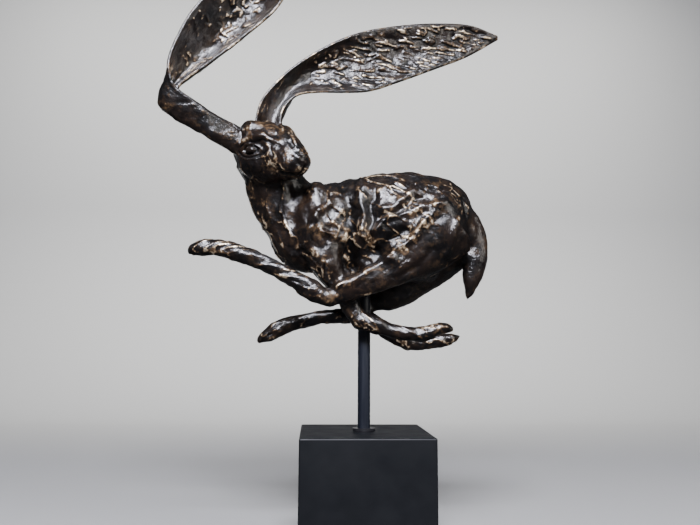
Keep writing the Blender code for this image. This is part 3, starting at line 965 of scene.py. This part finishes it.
def sculpt(mesh):
    """Carve the skin, and keep for the finish where it is raised (rubbed gold and painted highlight), sunk
    (patina, and painted shade in the furrows), burred, rim or dull.
    """
    edges = read_edges(mesh)
    points = read_vectors(mesh, "co")
    normals = read_vectors(mesh, "normal")
    broad, crest, painted_furrow_shade = flank_relief(points, normals)
    write_points(mesh, points + normals * broad[:, None])
    points = read_vectors(mesh, "co")
    normals = read_vectors(mesh, "normal")
    plain_bulge = stand_out(points, normals, edges, FINE_ROUNDS)
    plain_swell = stand_out(points, normals, edges, BROAD_ROUNDS)
    rim = rim_distance(points)
    rise, burr = cast_relief(points, normals, rim)
    face, eyeball, lids, face_rub_and_highlight, face_dull = head_relief(points)
    calm = 1 - np.clip(np.abs(face) / (FACE_FULL * MM), 0, 1) * FACE_CALM
    rise = rise * (1 - eyeball) * calm + face + toe_relief(points)
    points = soften(points + normals * rise[:, None], edges, FINISH_ROUNDS)
    write_points(mesh, points)
    normals = read_vectors(mesh, "normal")
    bulge = stand_out(points, normals, edges, FINE_ROUNDS) - plain_bulge
    swell = stand_out(points, normals, edges, BROAD_ROUNDS) - plain_swell
    raised = ramp(bulge, *FINE_RAISED) * 0.8 + ramp(swell, *BROAD_RAISED) * 0.4
    sunk = ramp(-bulge, *FINE_SUNK) * 0.6 + ramp(-swell, *BROAD_SUNK) * 0.6
    # Stroke crests, the head's marked places and the listed rub places are painted highlights as well as
    # rubbed gold.
    raised = np.maximum(raised * (1 - 0.75 * lids), np.maximum(crest, face_rub_and_highlight))
    hand_rub_and_highlight = (1 - left_over(points, RUB_AND_HIGHLIGHT_PLACES)) * ramp(swell, *RUB_AND_HIGHLIGHT_REACH)
    raised = np.maximum(raised, hand_rub_and_highlight)
    keep_values(mesh, "raised", raised * (1 - eyeball))
    # The deep furrows are added to the sunk places as painted shade.
    keep_values(mesh, "sunk", np.maximum(sunk, painted_furrow_shade))
    keep_values(mesh, "burr", burr * (1 - eyeball))
    keep_values(mesh, "rim", groove(rim, RIM_RUB) * ear_share(points) * left_over(points, CALM_PLACES))
    keep_values(mesh, "dull", np.maximum(face_dull, 1 - left_over(points, DULL_PLACES)))


def lighten(item):
    """Bring the skin down to its budget, which leaves the flat places the coarser ones."""
    total = sum(len(face.vertices) - 2 for face in item.data.polygons)
    if total <= SKIN_TRIANGLES:
        return
    thin = item.modifiers.new("lighten", "DECIMATE")
    thin.ratio = SKIN_TRIANGLES / total
    thin.use_collapse_triangulate = True
    bake_modifiers(item)


def make_hare():
    """The whole casting as one fine mesh in the place of its solid."""
    ears = [ear(*rails) for rails in (RIGHT_EAR, LEFT_EAR)]
    item = add_object("hare_casting", join_meshes(body_shapes() + head_shapes() + ears))
    fuse(item)
    sculpt(item.data)
    lighten(item)
    item.data.shade_smooth()
    item.data.materials.append(bronze_material())
    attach(item, "root")
    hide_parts("hare")
    return item


class Nodes:
    """Short helper to lay out a material's nodes."""

    def __init__(self, name):
        self.material = bpy.data.materials.new(name)
        self.material.use_nodes = True
        self.tree = self.material.node_tree
        self.shader = self.tree.nodes["Principled BSDF"]
        self.position = self.tree.nodes.new("ShaderNodeTexCoord").outputs["Object"]

    def feed(self, value, socket):
        """Link a socket, or set a plain value or colour."""
        if isinstance(value, bpy.types.NodeSocket):
            self.tree.links.new(value, socket)
        elif socket.type == "RGBA":
            socket.default_value = (*value, 1.0)
        else:
            socket.default_value = value

    def surface(self, sockets):
        """Feed the shader's sockets and give back the material."""
        for name, value in sockets.items():
            self.feed(value, self.shader.inputs[name])
        return self.material

    def add(self, kind, inputs, **settings):
        """New node with its settings made and its inputs fed."""
        node = self.tree.nodes.new("ShaderNode" + kind)
        for name, value in settings.items():
            setattr(node, name, value)
        for name, value in inputs.items():
            self.feed(value, node.inputs[name])
        return node

    def stretch(self, scale):
        """Position scaled along each axis."""
        return self.add("Mapping", {"Scale": scale, "Vector": self.position}).outputs["Vector"]

    def noise(self, scale, detail, roughness, vector=None, output="Fac"):
        """Noise, from its bumps to a metre, detail and roughness."""
        inputs = {"Scale": scale, "Detail": detail, "Roughness": roughness}
        inputs["Vector"] = vector or self.position
        return self.add("TexNoise", inputs).outputs[output]

    def cracks(self, scale, waver, width):
        """Network of thin wavering lines, 1 on a line and 0 away from it."""
        drift = self.noise(scale * 1.3, 3.0, 0.5, output="Color")
        inputs = {0: drift, 1: (waver, waver, waver), 2: self.position}
        shifted = self.add("VectorMath", inputs, operation="MULTIPLY_ADD").outputs["Vector"]
        cells = self.add("TexVoronoi", {"Scale": scale, "Vector": shifted}, feature="DISTANCE_TO_EDGE")
        return self.span(cells.outputs["Distance"], 0.0, width, 1.0, 0.0)

    def blend(self, value, *stops):
        """Colour at a value, between two stops of (position, colour)."""
        node = self.add("ValToRGB", {"Fac": value})
        for point, (position, colour) in zip(node.color_ramp.elements, stops):
            point.position = position
            point.color = (*colour, 1.0)
        return node.outputs["Color"]

    def mix(self, share, first, second):
        """First colour where the share is 0, second where it is 1."""
        return self.add("Mix", {0: share, 6: first, 7: second}, data_type="RGBA").outputs[2]

    def maths(self, operation, first, second):
        """Result of an operation, held in 0..1."""
        return self.add("Math", {0: first, 1: second}, operation=operation, use_clamp=True).outputs["Value"]

    def span(self, value, low, high, to_low=0.0, to_high=1.0):
        """Value stretched from low..high to a new range."""
        inputs = {"Value": value, "From Min": low, "From Max": high, "To Min": to_low, "To Max": to_high}
        return self.add("MapRange", inputs).outputs["Result"]

    def attribute(self, name):
        """Value kept at the vertices under this name."""
        return self.add("Attribute", {}, attribute_name=name).outputs["Fac"]

    def bump(self, height, distance, strength, normal=None):
        """Normal of a fine relief, over another if given."""
        node = self.add("Bump", {"Strength": strength, "Distance": distance, "Height": height})
        if normal:
            self.feed(normal, node.inputs["Normal"])
        return node.outputs["Normal"]


# Colours of the patina, from the sunk places (painted shade in the deep furrows) to the rubbed ridges
# (partly painted highlight).
SUNK_PATINA_AND_SHADE = (0.0016, 0.0014, 0.0015)
DARK_PATINA = (0.0032, 0.0027, 0.0028)
BROWN_PATINA = (0.0110, 0.0066, 0.0048)
WARM_PATINA = (0.115, 0.068, 0.033)
RUBBED_AND_HIGHLIT_GOLD = (0.80, 0.66, 0.46)
GLOSS_ROUGHNESS = 0.12
# Coat weight where sunk or dull: less gloss darkens these places, partly as painted shade.
HOLLOW_GLOSS = 0.25

# Cracks in the patina: cells to a metre, waver and width of a line.
CRACKS = (95, 0.016, 0.05)

# How strongly each of them shows.
BLUSH_SHARE = 0.26
CRACK_SHARE = 0.16
BURR_SHARE = 0.50
WARM_SHARE = 0.8


def patina_tone(nodes):
    """Colour of the patina where nothing is rubbed, near black in sunk places, which in the deep furrows is
    painted shade.
    """
    tone = nodes.blend(nodes.noise(42, 3, 0.6), (0.42, DARK_PATINA), (0.60, BROWN_PATINA))
    blush = nodes.span(nodes.noise(110, 5, 0.7), 0.54, 0.68)
    tone = nodes.mix(nodes.maths("MULTIPLY", blush, BLUSH_SHARE), tone, WARM_PATINA)
    cracked = nodes.span(nodes.noise(48, 2, 0.5), 0.50, 0.64)
    crackle = nodes.maths("MULTIPLY", nodes.cracks(*CRACKS), cracked)
    tone = nodes.mix(nodes.maths("MULTIPLY", crackle, CRACK_SHARE), tone, WARM_PATINA)
    # Near black where sunk: patina in the small hollows, painted shade in the deep furrows.
    return nodes.mix(nodes.attribute("sunk"), tone, SUNK_PATINA_AND_SHADE)


def rubbing_and_highlight(nodes):
    """How far the metal is rubbed, from ridges, burrs and rims, broken up by noise; on crests and marked
    places this is painted highlight.
    """
    grain = nodes.span(nodes.noise(300, 4, 0.7), 0.36, 0.58, 0.35, 1.0)
    patch = nodes.span(nodes.noise(75, 3, 0.6), 0.42, 0.60, 0.25, 1.0)
    raised = nodes.maths("MULTIPLY", nodes.attribute("raised"), patch)
    rub_and_highlight = nodes.maths("ADD", raised, nodes.maths("MULTIPLY", nodes.attribute("burr"), BURR_SHARE))
    worn_rim = nodes.span(nodes.noise(105, 3, 0.6), 0.44, 0.56, 0.1, 1.0)
    rub_and_highlight = nodes.maths("MAXIMUM", rub_and_highlight, nodes.maths("MULTIPLY", nodes.attribute("rim"), worn_rim))
    return nodes.maths("MULTIPLY", rub_and_highlight, grain)


def bronze_material():
    """Dark brown-black patina, pale gold where ridges and rims are rubbed and where highlights are painted,
    near black where shade is painted in the furrows, under gloss lacquer.
    """
    nodes = Nodes("bronze_patina")
    rub_and_highlight = rubbing_and_highlight(nodes)
    # Warm fringe and bare gold, partly rubbed metal and partly painted highlight.
    warm = nodes.maths("MULTIPLY", nodes.span(rub_and_highlight, 0.18, 0.50), WARM_SHARE)
    bare_and_highlit = nodes.span(rub_and_highlight, 0.48, 0.92)
    colour = nodes.mix(warm, patina_tone(nodes), WARM_PATINA)
    # Less lacquer where sunk or dull; in the furrows and the shoulder-haunch hollow this darkening is
    # painted shade.
    dull = nodes.maths("MAXIMUM", nodes.attribute("sunk"), nodes.attribute("dull"))
    pores = nodes.bump(nodes.noise(330, 4, 0.65), 0.0009, 0.50)
    normal = nodes.bump(nodes.noise(760, 4, 0.65), 0.0004, 0.45, pores)
    return nodes.surface({
        "Base Color": nodes.mix(bare_and_highlit, colour, RUBBED_AND_HIGHLIT_GOLD),
        "Metallic": bare_and_highlit,
        "Specular IOR Level": 0.2,
        "Roughness": nodes.span(nodes.noise(60, 3, 0.5), 0.3, 0.7, 0.28, 0.42),
        "Coat Weight": nodes.span(dull, 0.15, 0.9, 1.0, HOLLOW_GLOSS),
        "Coat Roughness": GLOSS_ROUGHNESS,
        "Coat IOR": 1.5,
        "Normal": normal,
        "Coat Normal": normal,
    })


# Colours of the rod's paint, and its streaks to a metre.
ROD_DARK = (0.005, 0.006, 0.010)
ROD_LIGHT = (0.010, 0.012, 0.018)
ROD_STREAKS = (900, 900, 25)


def rod_material():
    """Satin blue-black paint with the faint lengthwise draw of the bar."""
    nodes = Nodes("rod_paint")
    streak = nodes.noise(1.0, 3, 0.6, nodes.stretch(ROD_STREAKS))
    return nodes.surface({
        "Base Color": nodes.blend(streak, (0.3, ROD_DARK), (0.7, ROD_LIGHT)),
        "Roughness": nodes.span(streak, 0.3, 0.7, 0.30, 0.42),
        "Normal": nodes.bump(streak, 0.0001, 0.2),
    })


# Colours of the collar's paint, and of its rubbed places.
COLLAR_DARK = (0.008, 0.008, 0.010)
COLLAR_LIGHT = (0.022, 0.021, 0.021)


def collar_material():
    """Satin black paint, rubbed a little paler along the thin rim."""
    nodes = Nodes("collar_paint")
    rub = nodes.span(nodes.noise(260, 3, 0.6), 0.45, 0.70)
    return nodes.surface({
        "Base Color": nodes.mix(rub, COLLAR_DARK, COLLAR_LIGHT),
        "Roughness": nodes.span(rub, 0, 1, 0.34, 0.26),
        "Normal": nodes.bump(nodes.noise(1500, 2, 0.5), 0.00005, 0.3),
    })


# Colours and shine of the block's coating.
COATING_DARK = (0.0026, 0.0032, 0.0044)
COATING_LIGHT = (0.0040, 0.0046, 0.0060)
COATING_SHINE = 0.25


def block_material():
    """Satin black coating, even, with a fine sprayed texture."""
    nodes = Nodes("block_coating")
    shade = nodes.noise(22, 3, 0.5)
    return nodes.surface({
        "Base Color": nodes.blend(shade, (0.35, COATING_DARK), (0.65, COATING_LIGHT)),
        "Roughness": nodes.span(nodes.noise(70, 4, 0.6), 0.3, 0.7, 0.46, 0.56),
        "Specular IOR Level": COATING_SHINE,
        "Normal": nodes.bump(nodes.noise(2400, 2, 0.5), 0.00004, 0.35),
    })


def dress(name, material):
    """Give a carried-over solid its finish."""
    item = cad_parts[name]
    item.data.materials.clear()
    item.data.materials.append(material)


# Backdrop: colour, weak light from all round, and the sweep's sizes in metres and steps.
FLOOR_COLOUR = (0.39, 0.39, 0.38)
WORLD_COLOUR = (0.72, 0.75, 0.82, 1.0)
WORLD_STRENGTH = 0.07
SWEEP_FRONT = -0.45
SWEEP_BACK = 1.0
SWEEP_RADIUS = 0.6
SWEEP_HEIGHT = 1.9
SWEEP_SIDE = 1.6
SWEEP_STEPS = 60
FOOT_STEP = 26
WALL_STEP = 44


def pale_sheet(name, profile, in_gloss):
    """Wide pale sheet along a profile of (y, z); in_gloss tells if polished metal mirrors it."""
    work = bmesh.new()
    rows = [[work.verts.new((x, y, z)) for x in (-SWEEP_SIDE, SWEEP_SIDE)] for y, z in profile]
    for low, high in zip(rows, rows[1:]):
        work.faces.new((low[0], low[1], high[1], high[0]))
    mesh = close_work(work, name)
    mesh.shade_smooth()
    item = add_object(name, mesh)
    item.visible_glossy = in_gloss
    nodes = Nodes(name + "_paper")
    mesh.materials.append(nodes.surface({"Base Color": FLOOR_COLOUR, "Roughness": 0.85}))


def make_floor():
    """Plain pale floor that runs up into a backdrop, of which polished metal mirrors only the foot."""
    bend = []
    for step in range(SWEEP_STEPS + 1):
        angle = math.pi / 2 * step / SWEEP_STEPS
        bend.append((SWEEP_BACK + SWEEP_RADIUS * math.sin(angle), SWEEP_RADIUS * (1 - math.cos(angle))))
    pale_sheet("floor", [(SWEEP_FRONT, 0.0)] + bend[:FOOT_STEP + 1], False)
    pale_sheet("wall_foot", bend[FOOT_STEP:WALL_STEP + 1], True)
    pale_sheet("wall", bend[WALL_STEP:] + [(SWEEP_BACK + SWEEP_RADIUS, SWEEP_HEIGHT)], False)


# What the lights aim at, in metres.
HARE_MIDDLE = (0.0, 0.0, 0.30)
WALL_MIDDLE = (0.0, 1.6, 0.50)

# Name, place, target, width, height, watts, colour and spread in degrees of each soft light.
SOFT_LIGHTS = [
    ("window", (-0.10, -1.15, 1.20), HARE_MIDDLE, 0.75, 0.36, 84, (0.88, 0.89, 1.0), 180),
    ("side", (1.00, -0.85, 0.75), HARE_MIDDLE, 0.35, 0.8, 6, (1.0, 0.96, 0.90), 180),
    ("wall", (0.0, 0.95, 1.7), WALL_MIDDLE, 2.2, 0.3, 22, (1.0, 0.99, 0.96), 90),
]


def make_lights():
    """The soft lights, and the weak light from all round."""
    for name, spot, target, width, height, watts, colour, spread in SOFT_LIGHTS:
        light = bpy.data.lights.new(name, "AREA")
        light.shape = "RECTANGLE"
        light.size = width
        light.size_y = height
        light.energy = watts
        light.color = colour
        light.spread = math.radians(spread)
        item = add_object(name, light)
        item.location = spot
        item.rotation_euler = (Vector(target) - item.location).to_track_quat("-Z", "Y").to_euler()
    world = bpy.data.worlds.new("studio")
    world.use_nodes = True
    backdrop = world.node_tree.nodes["Background"]
    backdrop.inputs["Color"].default_value = WORLD_COLOUR
    backdrop.inputs["Strength"].default_value = WORLD_STRENGTH
    bpy.context.scene.world = world


def make_camera():
    """The photograph's viewing angle."""
    camera = bpy.data.cameras.new("camera")
    camera.sensor_width = SENSOR_WIDTH
    camera.lens = CAMERA_LENS
    camera.clip_start = 0.01
    item = add_object("camera", camera)
    item.location = CAMERA_SPOT
    yaw = Matrix.Rotation(math.radians(-CAMERA_YAW), 4, "Z")
    pitch = Matrix.Rotation(math.radians(90 + CAMERA_PITCH), 4, "X")
    roll = Matrix.Rotation(math.radians(CAMERA_ROLL), 4, "Z")
    item.rotation_euler = (yaw @ pitch @ roll).to_euler()
    bpy.context.scene.camera = item


make_camera()
make_lights()
make_floor()
make_hare()
dress("support_rod", rod_material())
dress("rod_collar", collar_material())
dress("plinth_block", block_material())
